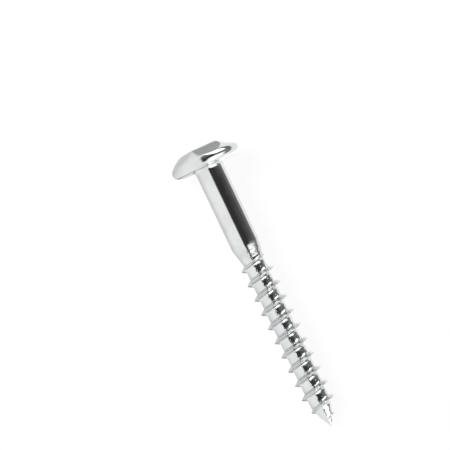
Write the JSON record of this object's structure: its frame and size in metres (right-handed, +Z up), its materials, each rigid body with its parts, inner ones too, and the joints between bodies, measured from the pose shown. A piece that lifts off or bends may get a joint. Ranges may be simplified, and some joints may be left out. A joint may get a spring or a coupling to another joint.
{
  "type": "hexalobular wood screw",
  "caption": "Wood screw with a low domed head with five flat facets, a six-lobed drive recess, a plain shank and a coarse right-hand thread that runs onto a sharp point.",
  "frame": {"origin": "on the floor, under the middle of the screw as it lies on its side", "axes": "+Z up from the floor, +X from the head to the point; the screw's own axis dips 4.5 degrees below +X, because it rests on the rim of its head and on one thread crest"},
  "size_m": [0.059, 0.014, 0.014],
  "materials": {
    "bright_steel": "bright plated steel, polished"
  },
  "bodies": {
    "root": {"screw": "bright_steel"}
  },
  "joints": []
}
